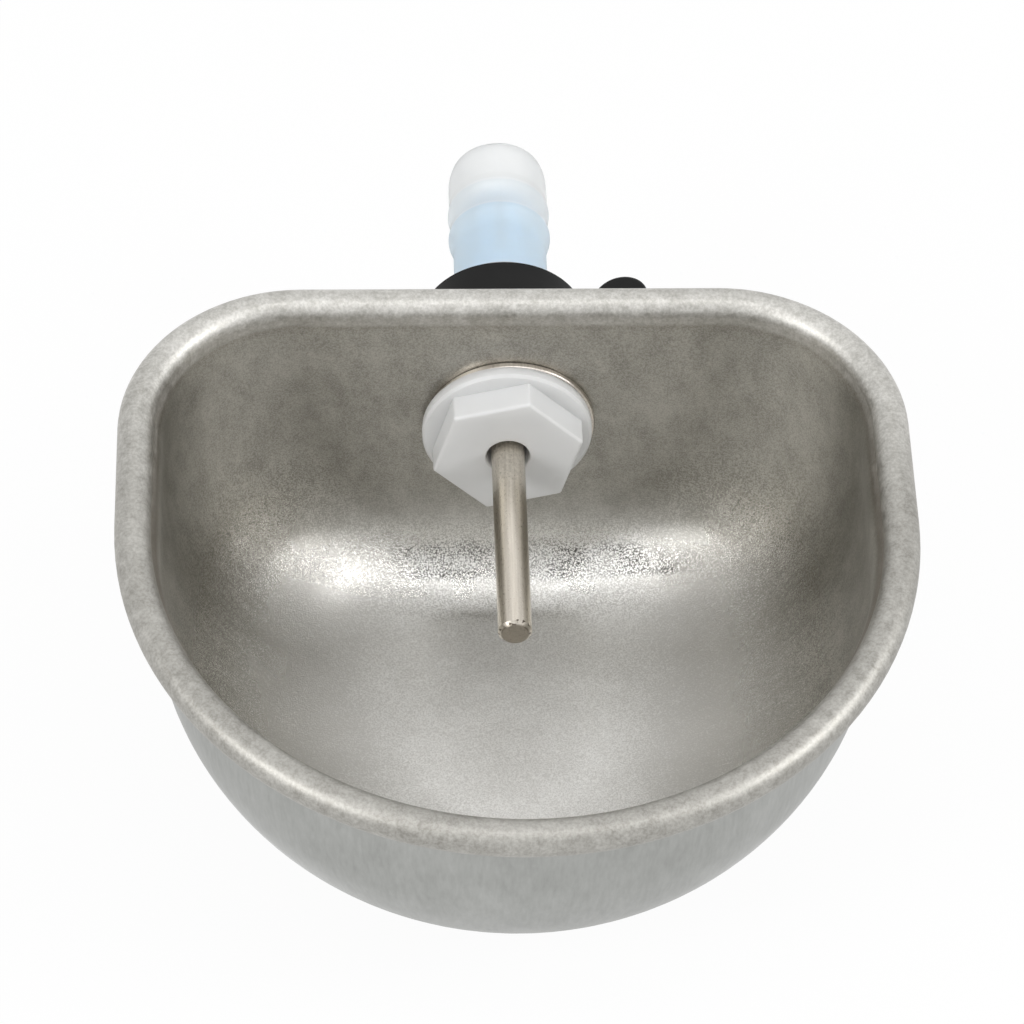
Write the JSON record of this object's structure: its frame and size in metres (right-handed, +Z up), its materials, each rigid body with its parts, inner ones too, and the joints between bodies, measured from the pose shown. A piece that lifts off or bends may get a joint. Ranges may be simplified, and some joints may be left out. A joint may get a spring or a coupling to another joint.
{
  "type": "livestock drinking bowl",
  "caption": "D-shaped stamped steel bowl with a rolled rim and a push-pin water valve through its flat back wall; wing nut and barbed hose tail behind.",
  "frame": {"origin": "on the valve axis at the rear face of the rear gasket, where the panel is clamped", "axes": "+Y along the valve axis towards the hose tail, +Z up, +X to the right facing the back wall; the back wall stands upright"},
  "size_m": [0.11, 0.1452, 0.0564],
  "materials": {
    "stamped_steel": "satin stamped stainless sheet with fine grain",
    "washer_steel": "turned stainless, light scratches",
    "pin_steel": "drawn stainless bar, warm grey",
    "spring_steel": "bright spring wire",
    "white_nylon": "satin white moulded nylon",
    "clear_nylon": "frosted natural nylon",
    "blue_plastic": "satin blue moulding",
    "black_plastic": "satin black moulding",
    "black_rubber": "matt black rubber"
  },
  "bodies": {
    "bowl": {"bowl_shell": "stamped_steel", "front_washer": "washer_steel", "rear_gasket": "black_rubber", "valve_body": "white_nylon", "valve_spring": "spring_steel", "inlet_strainer": "blue_plastic", "tail_seal": "black_rubber", "hose_tail": "clear_nylon"},
    "spring_plate": {"spring_plate": "washer_steel"},
    "seal": {"pin_seal": "black_rubber"},
    "pin": {"trigger_pin": "pin_steel"},
    "clamp_washer": {"rear_washer": "washer_steel"},
    "nut": {"wing_nut": "black_plastic"}
  },
  "joints": [
    {"name": "pin_push", "type": "slide", "parent": "bowl", "child": "spring_plate", "axis": [0, 1, 0], "range_m": [0, 0.002], "stiffness_N_per_m": 900, "springref_m": -0.003, "deforming": ["valve_spring"]},
    {"name": "pin_tilt_side", "type": "hinge", "parent": "spring_plate", "child": "seal", "pos_m": [0, -0.0044, 0], "axis": [0, 0, 1], "range_deg": [-3.5, 3.5], "stiffness_Nm_per_rad": 0.3, "deforming": ["pin_seal"]},
    {"name": "pin_tilt_up_down", "type": "hinge", "parent": "seal", "child": "pin", "pos_m": [0, -0.0044, 0], "axis": [1, 0, 0], "range_deg": [-3.5, 3.5], "stiffness_Nm_per_rad": 0.3, "deforming": ["pin_seal"]},
    {"name": "clamp_open", "type": "slide", "parent": "bowl", "child": "clamp_washer", "axis": [0, 1, 0], "range_m": [0, 0.006]},
    {"name": "nut_turn", "type": "hinge", "parent": "clamp_washer", "child": "nut", "pos_m": [0, 0, 0], "axis": [0, 1, 0], "range_deg": [0, 1440]}
  ],
  "couplings": [
    {"joint": "clamp_open", "follows": "nut_turn", "m_per_rad": 0.00023873}
  ]
}
